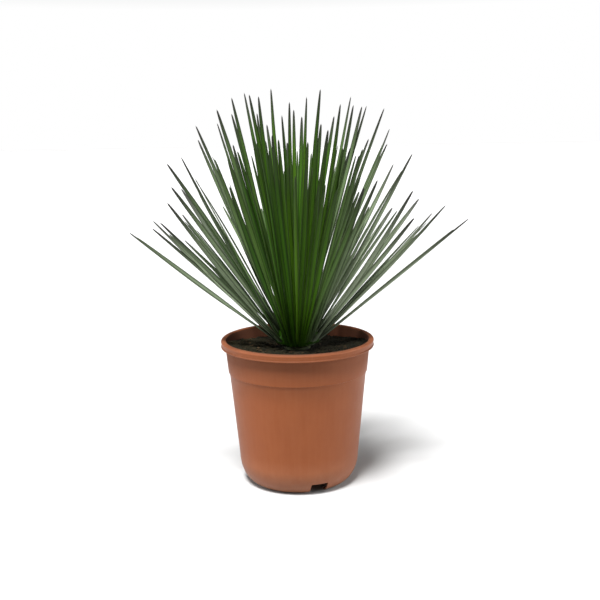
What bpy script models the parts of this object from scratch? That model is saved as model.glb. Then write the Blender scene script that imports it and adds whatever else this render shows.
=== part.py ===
# A young beaked yucca in its nursery pot: metres, +Z up, the pot's foot on z = 0 and its axis on Z,
# and the side that is looked at towards -Y.
import math
import random
import bpy
import bmesh
from mathutils import Matrix, Vector

# Driving dimensions, in metres and degrees
RIM_RADIUS = 0.095
POT_HEIGHT = 0.181
WALL = 0.0017
WALL_TOP_RADIUS = 0.0905       # the wall's slanting line, carried up to the rim's crest
WALL_FOOT_RADIUS = 0.0730      # the same line, carried down to the ground
RIM_DEPTH = 0.0092
RIM_ROLL = 0.0024              # radius of the rim's outer edge
RIM_THICK = 0.0045             # from the rim's crest down to the groove behind its skirt
LIP = 0.0016                   # thickness of the skirt that hangs from the rim
LEDGE_HEIGHT = 0.1403
LEDGE_STEP = 0.0014
LEDGE_SLOPE = 0.0004           # half the height that the ledge's step takes
CORNER_HEIGHT = 0.033          # where the wall starts to round in to the foot
CORNER_POWER = 1.9             # 2 is an ellipse, less is nearer a chamfer
FOOT_RADIUS = 0.0555
FOOT_RING = 0.0025
FLOOR_HEIGHT = 0.0155          # underside of the raised floor
NOTCH_WIDTH = 0.0215
NOTCH_HEIGHT = 0.0140
NOTCH_COUNT = 3
NOTCH_AZIMUTH = -69.3          # the notch that shows at the front
DRAIN_RADIUS = 0.005
DRAIN_CIRCLE = 0.040
DRAIN_COUNT = 8
GAP = 0.0003                   # what touching pieces keep between their meshes
SOIL_HEIGHT = 0.1685           # the soil's top round the stem
SOIL_BRIM = 0.1760             # where it clings to the pot's wall at the front and the sides
SOIL_SINK = 0.0130             # how much lower it meets the wall at the back
SOIL_LUMP = 0.0011
STEM_RADIUS = 0.0165
STEM_BOTTOM = 0.114
STEM_TOP = 0.1725
OLD_BASES = 11                 # stubs of shed leaves round the top of the stem
OLD_BASE_LENGTH = 0.013
OLD_BASE_WIDTH = 0.009
BUD_RADIUS = 0.0285            # the packed leaf bases that the blades stand out of
BUD_MIDDLE = 0.179
BUD_RISE = 0.030
CROWN = Vector((0.0, 0.0, 0.178))
EYE = Vector((0.0046, -1.1, 0.4293))    # where the plant is looked at from
LEAF_LENGTH = 0.311            # an upright leaf, from the crown to its point
LEAF_SHORTER = 0.062           # how much shorter the lowest leaves are
LOWEST_LEAN = 56.0             # lean of the lowest leaves to the sides and the back
FRONT_LOWEST_LEAN = 33.0       # and at the front, where they stand up more
LEAF_WIDTH = 0.0064
ROOT_SUNK = 0.008
ROUND = 48                     # facets round the pot
SEED = 41

# Leaf points that stand out against the light: lean to the side in degrees, then reach in millimetres
SEEN_LEAVES = [
    (-56, 245), (-51, 225), (-49, 230), (-48, 222), (-47, 186), (-42, 232), (-41, 210), (-38, 243),
    (-36, 234), (-35, 268), (-33, 181), (-31, 265), (-25, 273), (-24, 289), (-19, 282), (-18, 297),
    (-18, 264), (-17, 252), (-15, 287), (-14, 305), (-11, 307), (-10, 304), (-9, 281), (-8, 300),
    (-7, 266), (-6, 253), (-5, 307), (-3, 275), (-2, 243), (-1, 290), (0, 281), (2, 273),
    (3, 296), (4, 242), (6, 306), (7, 266), (9, 260), (10, 277), (11, 292), (13, 303),
    (14, 294), (16, 295), (16, 246), (17, 297), (19, 239), (20, 261), (21, 301), (24, 281),
    (24, 205), (25, 264), (27, 220), (29, 246), (32, 268), (36, 201), (38, 232), (41, 229),
    (44, 208), (47, 228), (48, 246), (49, 217), (55, 258),
]
BACK_LEAVES = 44               # leaves behind, which the front ones cover
FRONT_LEAVES = 34
MIDDLING = 2                   # how many in five of those stand nearer the middle than their length would put them
SPEAR_LEAVES = 7               # short upright young leaves in the middle
FORWARD_REACH = 0.178          # how far in front of the middle a leaf's point may stand
BACKWARD_REACH = 0.155         # how far behind it
PAIRED_LEAN = 20.0             # a seen leaf that leans further to the side has another one behind or before it
LEAST_REACH = 0.036            # how far off the middle, before or behind, one at the head's edge stands

# A blade's sections, root first: place along it, then shares of its width, thickness and roll
BLADE_SECTIONS = [
    (0.0, 1.30, 1.0, 0.4), (0.11, 0.66, 1.0, 0.6), (0.27, 0.60, 1.0, 0.9), (0.53, 1.0, 0.88, 1.0),
    (0.80, 0.76, 0.62, 1.0),
]
BLADE_THICKNESS = 0.0016


def clear_scene():
    for item in list(bpy.data.objects):
        bpy.data.objects.remove(item, do_unlink=True)


def new_collection(name):
    group = bpy.data.collections.new(name)
    bpy.context.scene.collection.children.link(group)
    return group


def make_material(name, colour, roughness):
    material = bpy.data.materials.new(name)
    material.use_nodes = True
    shader = material.node_tree.nodes["Principled BSDF"]
    shader.inputs["Base Color"].default_value = (*colour, 1.0)
    shader.inputs["Roughness"].default_value = roughness
    shader.inputs["Metallic"].default_value = 0.0
    return material


def add_object(name, mesh, group, material=None):
    item = bpy.data.objects.new(name, mesh)
    group.objects.link(item)
    if material is not None:
        mesh.materials.append(material)
    return item


def apply_modifiers(item):
    """Makes the object's mesh what its modifiers give."""
    bpy.context.view_layer.update()
    depsgraph = bpy.context.evaluated_depsgraph_get()
    item.data = bpy.data.meshes.new_from_object(item.evaluated_get(depsgraph))
    item.modifiers.clear()


def turned(name, profile, group, material, facets):
    """A solid turned round Z from (radius, height) points that start and end on the axis."""
    mesh = bpy.data.meshes.new(name)
    points = [(radius, 0.0, height) for radius, height in profile]
    mesh.from_pydata(points, [(i, i + 1) for i in range(len(points) - 1)], [])
    item = add_object(name, mesh, group, material)
    screw = item.modifiers.new("Turn", "SCREW")
    screw.axis = "Z"
    screw.steps = facets
    screw.render_steps = facets
    screw.use_merge_vertices = True
    screw.merge_threshold = 0.00001
    return item


def cut(item, cutter):
    cutter.hide_render = True
    cutter.display_type = "WIRE"
    modifier = item.modifiers.new("Cut " + cutter.name, "BOOLEAN")
    modifier.operation = "DIFFERENCE"
    modifier.solver = "EXACT"
    modifier.object = cutter


def keep_largest_skin(mesh):
    """Fills the pockets that fusing closed off and drops loose scraps."""
    shape = bmesh.new()
    shape.from_mesh(mesh)
    left = set(shape.verts)
    skins = []
    while left:
        skin = [left.pop()]
        for vertex in skin:
            near = {edge.other_vert(vertex) for edge in vertex.link_edges} & left
            left -= near
            skin.extend(near)
        skins.append(skin)
    skins.sort(key=len)
    for skin in skins[:-1]:
        bmesh.ops.delete(shape, geom=skin, context="VERTS")
    shape.to_mesh(mesh)
    shape.free()


def fuse(item, pieces):
    """Joins a collection's closed pieces to the item for good, and removes the pieces."""
    modifier = item.modifiers.new("Fuse", "BOOLEAN")
    modifier.operation = "UNION"
    modifier.solver = "EXACT"
    modifier.operand_type = "COLLECTION"
    modifier.collection = pieces
    apply_modifiers(item)
    for piece in list(pieces.objects):
        bpy.data.objects.remove(piece, do_unlink=True)
    bpy.data.collections.remove(pieces)
    keep_largest_skin(item.data)


def arc(middle, size, start, end, steps):
    """Points of an elliptical arc round middle, from one angle in degrees to another."""
    points = []
    for i in range(steps + 1):
        angle = math.radians(start + (end - start) * i / steps)
        points.append((middle[0] + size[0] * math.cos(angle), middle[1] + size[1] * math.sin(angle)))
    return points


def wall_radius(height):
    """The wall's outer radius above the rounded corner."""
    slant = (WALL_TOP_RADIUS - WALL_FOOT_RADIUS) / POT_HEIGHT
    step = LEDGE_STEP if height < LEDGE_HEIGHT else 0.0
    return WALL_FOOT_RADIUS + slant * height - step


def corner(inset, steps=8):
    """The rounded lower corner, top to bottom, moved in from the outside along its normal."""
    across = wall_radius(CORNER_HEIGHT) - FOOT_RADIUS
    points = []
    for i in range(steps + 1):
        turn = 0.5 * math.pi * i / steps
        side = abs(math.cos(turn)) ** (2.0 / CORNER_POWER)
        drop = math.sin(turn) ** (2.0 / CORNER_POWER)
        normal = Vector((side ** (CORNER_POWER - 1.0) / across,
                         -drop ** (CORNER_POWER - 1.0) / CORNER_HEIGHT)).normalized()
        points.append((FOOT_RADIUS + across * side - inset * normal[0],
                       CORNER_HEIGHT * (1.0 - drop) - inset * normal[1]))
    return points


def split_at(points, height):
    """A falling outline in two, above and below a height, each with the point on it."""
    upper = [point for point in points if point[1] > height]
    lower = [point for point in points if point[1] <= height]
    share = (upper[-1][1] - height) / (upper[-1][1] - lower[0][1])
    radius = upper[-1][0] + (lower[0][0] - upper[-1][0]) * share
    return upper + [(radius, height)], [(radius, height)] + lower


def inner_wall(inset, floor):
    """The inside of the pot below its rim, top to bottom, moved in by inset from the outside."""
    ledge = wall_radius(LEDGE_HEIGHT) - inset
    line = [(ledge, LEDGE_HEIGHT + LEDGE_SLOPE), (ledge - LEDGE_STEP, LEDGE_HEIGHT - LEDGE_SLOPE)]
    return line + split_at(corner(inset), floor)[0]


def notch_cutter(index, group):
    """A square cut through the foot, for water to run out at the side."""
    shape = bmesh.new()
    bmesh.ops.create_cube(shape, size=1.0)
    depth = 0.034
    bmesh.ops.scale(shape, vec=(depth, NOTCH_WIDTH, 2.0 * NOTCH_HEIGHT), verts=shape.verts)
    bmesh.ops.translate(shape, vec=(FOOT_RADIUS + 0.25 * depth, 0.0, 0.0), verts=shape.verts)
    mesh = bpy.data.meshes.new("notch_cutter")
    shape.to_mesh(mesh)
    shape.free()
    cutter = add_object("notch_cutter_%d" % index, mesh, group)
    cutter.rotation_euler.z = math.radians(NOTCH_AZIMUTH + 360.0 * index / NOTCH_COUNT)
    return cutter


def drain_cutter(index, group):
    """A round drain hole through the raised floor."""
    shape = bmesh.new()
    bmesh.ops.create_cone(shape, cap_ends=True, segments=12, radius1=DRAIN_RADIUS, radius2=DRAIN_RADIUS,
                          depth=6.0 * WALL)
    mesh = bpy.data.meshes.new("drain_cutter")
    shape.to_mesh(mesh)
    shape.free()
    cutter = add_object("drain_cutter_%d" % index, mesh, group)
    angle = 2.0 * math.pi * (index + 0.5) / DRAIN_COUNT
    cutter.location = (DRAIN_CIRCLE * math.cos(angle), DRAIN_CIRCLE * math.sin(angle), FLOOR_HEIGHT)
    return cutter


def make_pot(group, cutters):
    """The pot: a rolled rim with a skirt, a ledge, a slanting wall, a rounded foot, a raised floor."""
    floor_top = FLOOR_HEIGHT + WALL
    inside = wall_radius(POT_HEIGHT) - WALL
    bend = 0.0019
    skirt = RIM_RADIUS - 0.0004
    skirt_end = POT_HEIGHT - RIM_DEPTH
    groove = POT_HEIGHT - RIM_THICK
    ledge = wall_radius(LEDGE_HEIGHT)
    profile = [(0.0, floor_top)]
    profile += reversed(inner_wall(WALL, floor_top))
    profile += arc((inside + bend, POT_HEIGHT - bend), (bend, bend), 180, 100, 3)
    profile += arc((RIM_RADIUS - RIM_ROLL, POT_HEIGHT - RIM_ROLL), (RIM_ROLL, RIM_ROLL), 85, 0, 3)
    profile += [(skirt - 0.0003, skirt_end + 1.3 * LIP), (skirt + 0.0003, skirt_end + 0.7 * LIP)]
    profile += [(skirt - 0.0003, skirt_end), (skirt - LIP, skirt_end + 0.3 * LIP)]
    profile += [(RIM_RADIUS - 1.3 * LIP, groove)]
    profile += arc((wall_radius(groove) + 0.0014, groove), (0.0013, 0.0026), 60, 180, 3)
    profile += [(ledge, LEDGE_HEIGHT + LEDGE_SLOPE), (ledge - LEDGE_STEP, LEDGE_HEIGHT - LEDGE_SLOPE)]
    profile += corner(0.0)
    profile += [(FOOT_RADIUS - FOOT_RING, 0.0), (FOOT_RADIUS - FOOT_RING, WALL)]
    profile += reversed(split_at(corner(WALL), FLOOR_HEIGHT)[1])
    profile += [(0.0, FLOOR_HEIGHT)]
    plastic = make_material("terracotta plastic", (0.314, 0.105, 0.042), 0.5)
    pot = turned("pot", profile, group, plastic, ROUND)
    for i in range(NOTCH_COUNT):
        cut(pot, notch_cutter(i, cutters))
    for i in range(DRAIN_COUNT):
        cut(pot, drain_cutter(i, cutters))
    return pot


def make_soil(group):
    """Potting mix that fills the pot, with a plain hole for the stem and a lumpy, dished top."""
    hole = STEM_RADIUS + GAP
    wall = inner_wall(WALL + GAP, FLOOR_HEIGHT + WALL + GAP)
    edge = wall_radius(SOIL_HEIGHT) - WALL - GAP
    profile = [(0.0, STEM_BOTTOM - GAP), (hole, STEM_BOTTOM - GAP)]
    profile += [(hole + (edge - hole) * i / 6.0, SOIL_HEIGHT) for i in range(7)]
    profile += wall + [(0.0, wall[-1][1])]
    mix = make_material("potting mix", (0.022, 0.017, 0.012), 0.95)
    soil = turned("soil", profile, group, mix, ROUND)
    apply_modifiers(soil)
    for vertex in soil.data.vertices:
        x, y, z = vertex.co
        out = math.hypot(x, y)
        if z > SOIL_HEIGHT - 0.001 and out > hole + 0.001:
            share = (out - hole) / (edge - hole)
            brim = SOIL_BRIM - SOIL_SINK * max(0.0, y) / edge
            lump = math.sin(190.0 * x + 1.3) * math.cos(170.0 * y) + 0.6 * math.sin(330.0 * (x - y))
            rise = (brim - SOIL_HEIGHT) * share ** 1.5
            vertex.co.z += rise + SOIL_LUMP * lump * min(1.0, (edge - out) / 0.008, (out - hole) / 0.020)
            spread = 1.0 + (wall_radius(SOIL_HEIGHT + rise) - wall_radius(SOIL_HEIGHT)) * share / edge
            vertex.co.x *= spread
            vertex.co.y *= spread
    return soil


def blade_shape(root, tip, bow, roll, width, thickness, sections, pointed):
    """A leaf as a lofted three-sided blade: a flat upper face and a keel beneath.

    The upper face is split along the same diagonal as the keel's faces, so a twisted blade keeps its thickness."""
    chord = tip - root
    along = chord.normalized()
    level = along.cross(Vector((0.0, 0.0, 1.0))).normalized()
    upper = level.cross(along)
    shape = bmesh.new()
    rows = []
    for place, broad, thick, rolled in sections:
        middle = root + chord * place + upper * bow * math.sin(math.pi * place)
        turn = Matrix.Rotation(roll * rolled, 3, along)
        half = turn @ level * (0.5 * width * broad)
        keel = middle - turn @ upper * thickness * thick
        rows.append([shape.verts.new(middle - half), shape.verts.new(keel), shape.verts.new(middle + half)])
    shape.faces.new(rows[0])
    for low, high in zip(rows, rows[1:]):
        for i in range(2):
            shape.faces.new((low[i], low[i + 1], high[i + 1]))
            shape.faces.new((low[i], high[i + 1], high[i]))
        shape.faces.new((low[2], low[0], high[2]))
        shape.faces.new((low[0], high[0], high[2]))
    if pointed:
        point = shape.verts.new(tip)
        for i in range(3):
            shape.faces.new((rows[-1][i], rows[-1][(i + 1) % 3], point))
    else:
        shape.faces.new(rows[-1])
    bmesh.ops.recalc_face_normals(shape, faces=shape.faces)
    return shape


def add_blade(name, group, **form):
    shape = blade_shape(**form)
    mesh = bpy.data.meshes.new(name)
    shape.to_mesh(mesh)
    shape.free()
    return add_object(name, mesh, group)


def make_stem(group):
    """The short woody stem, rooted in the soil, with the stubs of its shed leaves round its top."""
    shoulder = 0.004
    profile = [(0.0, STEM_TOP), (STEM_RADIUS - shoulder, STEM_TOP), (STEM_RADIUS, STEM_TOP - shoulder)]
    profile += [(STEM_RADIUS, SOIL_HEIGHT), (STEM_RADIUS, 0.5 * (SOIL_HEIGHT + STEM_BOTTOM))]
    profile += [(STEM_RADIUS - shoulder, STEM_BOTTOM), (0.0, STEM_BOTTOM)]
    bark = make_material("dry leaf bases", (0.110, 0.080, 0.045), 0.85)
    stem = turned("stem", profile, group, bark, 20)
    stubs = new_collection("stubs")
    draw = random.Random(SEED)
    for i in range(OLD_BASES):
        around = 2.399963 * i + draw.uniform(-0.2, 0.2)
        out = Vector((math.cos(around), math.sin(around), 0.0))
        root = out * (STEM_RADIUS - 0.005) + Vector((0.0, 0.0, SOIL_HEIGHT + 0.0018))
        way = (out + Vector((0.0, 0.0, draw.uniform(0.20, 0.32)))).normalized()
        add_blade("stub_%d" % i, stubs, root=root, tip=root + way * OLD_BASE_LENGTH * draw.uniform(0.8, 1.05),
                  bow=0.0006, roll=draw.uniform(-0.15, 0.15), width=OLD_BASE_WIDTH * draw.uniform(0.8, 1.1),
                  thickness=0.0013, pointed=False,
                  sections=[(0.0, 1.0, 1.0, 1.0), (0.6, 0.85, 0.9, 1.0), (1.0, 0.5, 0.7, 1.0)])
    fuse(stem, stubs)
    return stem


def on_sight_line(lean, reach, change, behind):
    """The point of the leaf that shows at this lean and reach from the crown, before or behind the axis.

    A leaf is shorter the lower it leans, so its length and its place settle together."""
    deepest = change * (BACKWARD_REACH if behind else FORWARD_REACH)
    shallowest = change * LEAST_REACH
    lean = math.radians(lean)
    shown = CROWN + 0.001 * reach * Vector((math.sin(lean), 0.0, math.cos(lean)))
    line = (shown - EYE).normalized()
    along = (CROWN - EYE).dot(line)
    off = (CROWN - EYE).length_squared - along ** 2
    point = shown
    for _ in range(4):
        length = leaf_length(point) * change
        half = min(max(math.sqrt(max(length ** 2 - off, 0.0)), shallowest), deepest)
        point = EYE + line * (along + half if behind else along - half)
    return point


def at_depth(lean, reach, depth):
    """The point that shows at this lean and reach from the crown, this far behind the axis."""
    lean = math.radians(lean)
    shown = CROWN + 0.001 * reach * Vector((math.sin(lean), 0.0, math.cos(lean)))
    return EYE + (shown - EYE) * (depth - EYE.y) / (shown.y - EYE.y)


def lean_of(point):
    """How far a point lies from upright above the crown, in degrees."""
    return math.degrees((point - CROWN).angle(Vector((0.0, 0.0, 1.0))))


def leaf_length(point):
    return LEAF_LENGTH - LEAF_SHORTER * (lean_of(point) / LOWEST_LEAN) ** 1.3


def bud_root(tip):
    """Where a leaf with this point leaves the bud: low on it for a low leaf, high for an upright one."""
    way = tip - CROWN
    around = math.atan2(way.y, way.x)
    forward = max(0.0, -math.sin(around)) ** 1.5
    lowest = LOWEST_LEAN + (FRONT_LOWEST_LEAN - LOWEST_LEAN) * forward
    down = math.radians(min(92.0, 92.0 * lean_of(tip) / lowest))
    radius = BUD_RADIUS * math.sin(down)
    height = BUD_MIDDLE + BUD_RISE * math.cos(down)
    place = Vector((radius * math.cos(around), radius * math.sin(around), height))
    root = place - (tip - place).normalized() * ROOT_SUNK
    root.z = max(root.z, STEM_TOP + 0.50 * LEAF_WIDTH)
    return root


def plan_leaf_points():
    """The points of all the leaves: those seen against the light, those among and behind them, and the pairs."""
    draw = random.Random(SEED)
    points = []
    for i, (lean, reach) in enumerate(SEEN_LEAVES):
        points.append(on_sight_line(lean, reach, draw.uniform(0.84, 1.015), i % 2 == (lean > 0)))
    for i in range(BACK_LEAVES):
        lean = -33.0 + 66.0 * (i + 0.5) / BACK_LEAVES + draw.uniform(-2.0, 2.0)
        if i % 5 < MIDDLING:
            reach = draw.uniform(200.0, 272.0) - 0.9 * abs(lean)
            points.append(at_depth(lean, reach, draw.uniform(0.045, 0.125)))
        else:
            reach = draw.uniform(150.0, 248.0) - 0.9 * abs(lean)
            points.append(on_sight_line(lean, reach, draw.uniform(0.84, 1.0), True))
    for i in range(FRONT_LEAVES):
        lean = -25.0 + 50.0 * (i + 0.5) / FRONT_LEAVES + draw.uniform(-1.5, 1.5)
        if i % 5 < MIDDLING:
            reach = draw.uniform(205.0, 258.0) - 0.6 * abs(lean)
            points.append(at_depth(lean, reach, draw.uniform(-0.125, -0.045)))
        else:
            reach = draw.uniform(196.0, 262.0) - 0.6 * abs(lean)
            points.append(on_sight_line(lean, reach, draw.uniform(0.92, 1.0), False))
    for i in range(SPEAR_LEAVES):
        around = 2.399963 * i
        lean = 0.05 + 0.012 * i
        way = Vector((math.sin(lean) * math.cos(around), math.sin(lean) * math.sin(around), math.cos(lean)))
        points.append(CROWN + way * LEAF_LENGTH * draw.uniform(0.55, 0.75))
    for i, (lean, reach) in enumerate(SEEN_LEAVES):
        if abs(lean) > PAIRED_LEAN:
            depth = draw.uniform(0.010, 0.060) * (-1.0 if i % 2 == (lean > 0) else 1.0)
            points.append(at_depth(lean, reach * draw.uniform(0.86, 0.97), depth))
    return points


def make_leaves(group):
    """The rosette: the bud of packed leaf bases with every blade fused to it."""
    bottom = STEM_TOP + GAP
    profile = [(0.0, BUD_MIDDLE + BUD_RISE)]
    profile += arc((0.0, BUD_MIDDLE), (BUD_RADIUS, BUD_RISE), 75, 0, 5)
    profile += arc((0.0, BUD_MIDDLE), (BUD_RADIUS, BUD_MIDDLE - bottom), -30, -60, 1)
    profile += [(0.3 * BUD_RADIUS, bottom), (0.0, bottom)]
    green = make_material("yucca leaf", (0.028, 0.066, 0.010), 0.45)
    leaves = turned("leaves", profile, group, green, 20)
    blades = new_collection("blades")
    draw = random.Random(SEED + 1)
    for i, tip in enumerate(plan_leaf_points()):
        sideways = abs(math.sin(math.atan2(tip.x, tip.y)))
        turn = math.radians(draw.uniform(6.0, 50.0) * sideways + draw.uniform(0.0, 52.0) * (1.0 - 0.7 * sideways))
        add_blade("blade_%d" % i, blades, root=bud_root(tip), tip=tip, bow=draw.uniform(-0.004, 0.003),
                  roll=turn if i % 2 else -turn, width=LEAF_WIDTH * draw.uniform(0.86, 1.16),
                  thickness=BLADE_THICKNESS, sections=BLADE_SECTIONS, pointed=True)
    fuse(leaves, blades)
    return leaves


def shade_round(item, angle):
    for polygon in item.data.polygons:
        polygon.use_smooth = True
    item.data.set_sharp_from_angle(angle=math.radians(angle))


def build():
    clear_scene()
    yucca = new_collection("beaked yucca")
    cutters = new_collection("cutters")
    make_pot(yucca, cutters)
    soil = make_soil(yucca)
    stem = make_stem(yucca)
    leaves = make_leaves(yucca)
    for item in (soil, stem, leaves):
        shade_round(item, 30.0)


build()
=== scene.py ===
# The looks of a young beaked yucca in its nursery pot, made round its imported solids.
# Metres, +Z up, the pot's axis on Z and the side that is looked at towards -Y.
import math
import random
import bpy
from mathutils import Matrix, Vector, noise


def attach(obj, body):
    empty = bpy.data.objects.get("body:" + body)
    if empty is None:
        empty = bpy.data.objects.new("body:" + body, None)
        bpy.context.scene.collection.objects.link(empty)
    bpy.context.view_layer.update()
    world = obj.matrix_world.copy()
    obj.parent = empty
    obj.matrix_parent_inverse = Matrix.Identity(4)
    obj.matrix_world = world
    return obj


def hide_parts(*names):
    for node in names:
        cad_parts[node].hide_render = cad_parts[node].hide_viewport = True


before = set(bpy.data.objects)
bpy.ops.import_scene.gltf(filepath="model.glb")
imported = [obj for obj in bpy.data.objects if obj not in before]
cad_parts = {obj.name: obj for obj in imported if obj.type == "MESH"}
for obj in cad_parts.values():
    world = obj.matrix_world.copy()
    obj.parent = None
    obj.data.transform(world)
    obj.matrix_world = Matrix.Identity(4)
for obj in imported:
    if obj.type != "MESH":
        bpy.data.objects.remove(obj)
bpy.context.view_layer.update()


# Camera: on the pot's front side, a little above the middle of the leaves, looking slightly down.
# Its distance, tilt and lens were worked out from the pot's rim and foot ellipses.
camera_place = Vector((0.0040, -1.1, 0.4293))
camera_down = 0.1808      # radians below level
camera_roll = -0.0153     # radians about its own line of sight
camera_sensor = 36.0
camera_lens = 54.25
camera_reach = (0.05, 60.0)      # the nearest and the farthest that it sees
bpy.ops.object.select_all(action="DESELECT")
bpy.ops.object.camera_add(location=camera_place)
camera = bpy.context.object
camera.name = "camera"
camera.rotation_euler = (Matrix.Rotation(0.5 * math.pi - camera_down, 3, "X")
                         @ Matrix.Rotation(camera_roll, 3, "Z")).to_euler()
camera.data.sensor_width = camera_sensor
camera.data.lens = camera_lens
camera.data.clip_start, camera.data.clip_end = camera_reach
bpy.context.scene.camera = camera
bpy.context.scene.view_settings.view_transform = "Standard"


# Floor and light: a matt white floor in a light tent, whose bright walls give the pot its pale
# edges. A softbox above the front gives the shade under the rim, and two wide ones fill in from the
# sides.
floor_size = 60.0
tent_fade = (0.13, 0.26)      # how steeply up its walls begin to dim, and where they have done so
tent_wall_glow = 1.0
tent_roof_glow = 0.1


def linear(code):
    """A hex colour as painted on a screen, in the linear numbers that shaders take."""
    shares = [int(code[i:i + 2], 16) / 255.0 for i in (1, 3, 5)]
    return [s / 12.92 if s <= 0.04045 else ((s + 0.055) / 1.055) ** 2.4 for s in shares] + [1.0]


def new_material(name, values):
    """Starts a material with the values that are the same all over: it, its nodes, its shader."""
    made = bpy.data.materials.new(name)
    made.use_nodes = True
    principled = made.node_tree.nodes["Principled BSDF"]
    for socket, value in values.items():
        principled.inputs[socket].default_value = value
    return made, made.node_tree, principled


def add_node(tree, kind, sockets=(), **settings):
    """Adds a shader node: its settings, then its sockets, each a value or linked from another."""
    made = tree.nodes.new("ShaderNode" + kind)
    for name, value in settings.items():
        setattr(made, name, value)
    for name, value in dict(sockets).items():
        if isinstance(value, bpy.types.NodeSocket):
            tree.links.new(value, made.inputs[name])
        else:
            made.inputs[name].default_value = value
    return made


def add_softbox(name, place, way, energy, spread):
    """Adds a softbox that shines one way, its light spread over an angle in degrees."""
    bpy.ops.object.select_all(action="DESELECT")
    bpy.ops.object.light_add(type="SUN", location=place)
    lamp = bpy.context.object
    lamp.name = name
    lamp.rotation_euler = Vector(way).to_track_quat("-Z", "Y").to_euler()
    lamp.data.energy = energy
    lamp.data.angle = math.radians(spread)


bpy.ops.object.select_all(action="DESELECT")
bpy.ops.mesh.primitive_plane_add(size=floor_size)
floor = bpy.context.object
floor.name = "studio_floor"
paint = new_material("matt white studio paint", {
    "Base Color": linear("#a4a4a4"), "Roughness": 0.9, "Specular IOR Level": 0.1})[0]
floor.data.materials.append(paint)

world = bpy.data.worlds.new("light tent")
bpy.context.scene.world = world
world.use_nodes = True
tree = world.node_tree
facing = add_node(tree, "TexCoord").outputs["Generated"]
upward = add_node(tree, "SeparateXYZ", {"Vector": facing})
glow = add_node(tree, "MapRange", {
    "Value": upward.outputs["Z"], "From Min": tent_fade[0], "From Max": tent_fade[1],
    "To Min": tent_wall_glow, "To Max": tent_roof_glow})
tree.links.new(glow.outputs["Result"], tree.nodes["Background"].inputs["Strength"])
tree.nodes["Background"].inputs["Color"].default_value = linear("#ffffff")

add_softbox("overhead_softbox", (-0.9, -1.0, 3.0), (0.16, 0.38, -1.0), energy=9.4, spread=18.0)
add_softbox("softbox_left", (-1.7, -0.15, 0.6), (1.0, 0.1, -0.3), energy=2.2, spread=50.0)
add_softbox("softbox_right", (1.7, -0.15, 0.6), (-1.0, 0.1, -0.3), energy=3.3, spread=50.0)


# Pot: a tapered nursery pot with a rolled rim and skirt, a ledge, a rounded foot and three drain
# notches. Terracotta-coloured polypropylene, injection moulded in one piece with 1.7 mm walls.
rim_radius = 0.095
pot_height = 0.181
pot_wall = 0.0017
pot_facets = 144
wall_top_radius = 0.0905      # the slanting wall's outer face, carried up to the pot's full height
wall_foot_radius = 0.0730     # and carried down to the ground
rim_roll = 0.0024             # how round the rim's outer shoulder is
rim_thick = 0.0045            # from the top down to the groove behind the skirt
rim_depth = 0.0092            # from the top down to the skirt's lower edge
mouth_bend = 0.0019           # how round the rim's inner shoulder is
skirt_taper = 0.0004          # how much the skirt draws in towards its lower edge
skirt_lip = 0.0016            # how thick the skirt is
skirt_bead = (0.0008, 0.0009)        # half the width and half the height of the bead along its edge
groove_bend = (0.0013, 0.0026)
groove_out = 0.0014
upper_rows = (0.160,)         # heights between the groove and the ledge where the wall has points
ledge_height = 0.1403
ledge_step = 0.0014
lower_rows = (0.115, 0.090, 0.062, 0.042)
inner_row = 0.012             # below the top, where the inner face has points
corner_height = 0.033         # how high up the wall the rounded foot begins
corner_power = 1.9            # 2 would make it a quarter of an ellipse, and less makes it flatter
foot_radius = 0.0555
foot_ring = 0.0025            # how wide the ring is that the pot stands on
floor_height = 0.0155
floor_rows = (0.03, 0.045)
notch_count = 3
notch_size = (0.034, 0.0215, 0.0280)      # inwards, across and up, half of it below the ground
notch_azimuth = -69.3         # degrees
drain_count = 8
drain_radius = 0.005
drain_circle = 0.040


def arc_points(middle, size, start, end, steps):
    """Points along an elliptical arc in the pot's section, between two angles in degrees."""
    angles = [math.radians(start + (end - start) * i / steps) for i in range(steps + 1)]
    return [(middle[0] + size[0] * math.cos(a), middle[1] + size[1] * math.sin(a)) for a in angles]


def wall_radius(height):
    """The outer radius of the pot's slanting wall, which is less below the ledge."""
    slant = (wall_top_radius - wall_foot_radius) / pot_height
    return wall_foot_radius + slant * height - (ledge_step if height < ledge_height else 0.0)


def foot_curve(inset, steps=16):
    """The rounded lower corner of the pot, top to bottom, moved inwards by inset."""
    across = wall_radius(corner_height) - foot_radius
    points = []
    for i in range(steps + 1):
        turn = 0.5 * math.pi * i / steps
        side = abs(math.cos(turn)) ** (2.0 / corner_power)
        drop = math.sin(turn) ** (2.0 / corner_power)
        normal = Vector((side ** (corner_power - 1.0) / across,
                         -drop ** (corner_power - 1.0) / corner_height)).normalized()
        points.append((foot_radius + across * side - inset * normal[0],
                       corner_height * (1.0 - drop) - inset * normal[1]))
    return points


def part_above(points, height):
    """The part of a falling outline above a height, ending on it."""
    upper = [point for point in points if point[1] > height]
    lower = points[len(upper)]
    share = (upper[-1][1] - height) / (upper[-1][1] - lower[1])
    return upper + [(upper[-1][0] + (lower[0] - upper[-1][0]) * share, height)]


def ledge_points(inset):
    """The small rounded step of the ledge, top to bottom."""
    out, height = wall_radius(ledge_height) - inset, ledge_height
    return [(out, height + 0.0008), (out - 0.0001, height + 0.0003), (out - 0.0005, height),
            (out - 0.0012, height - 0.0001), (out - ledge_step, height - 0.0005)]


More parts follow.
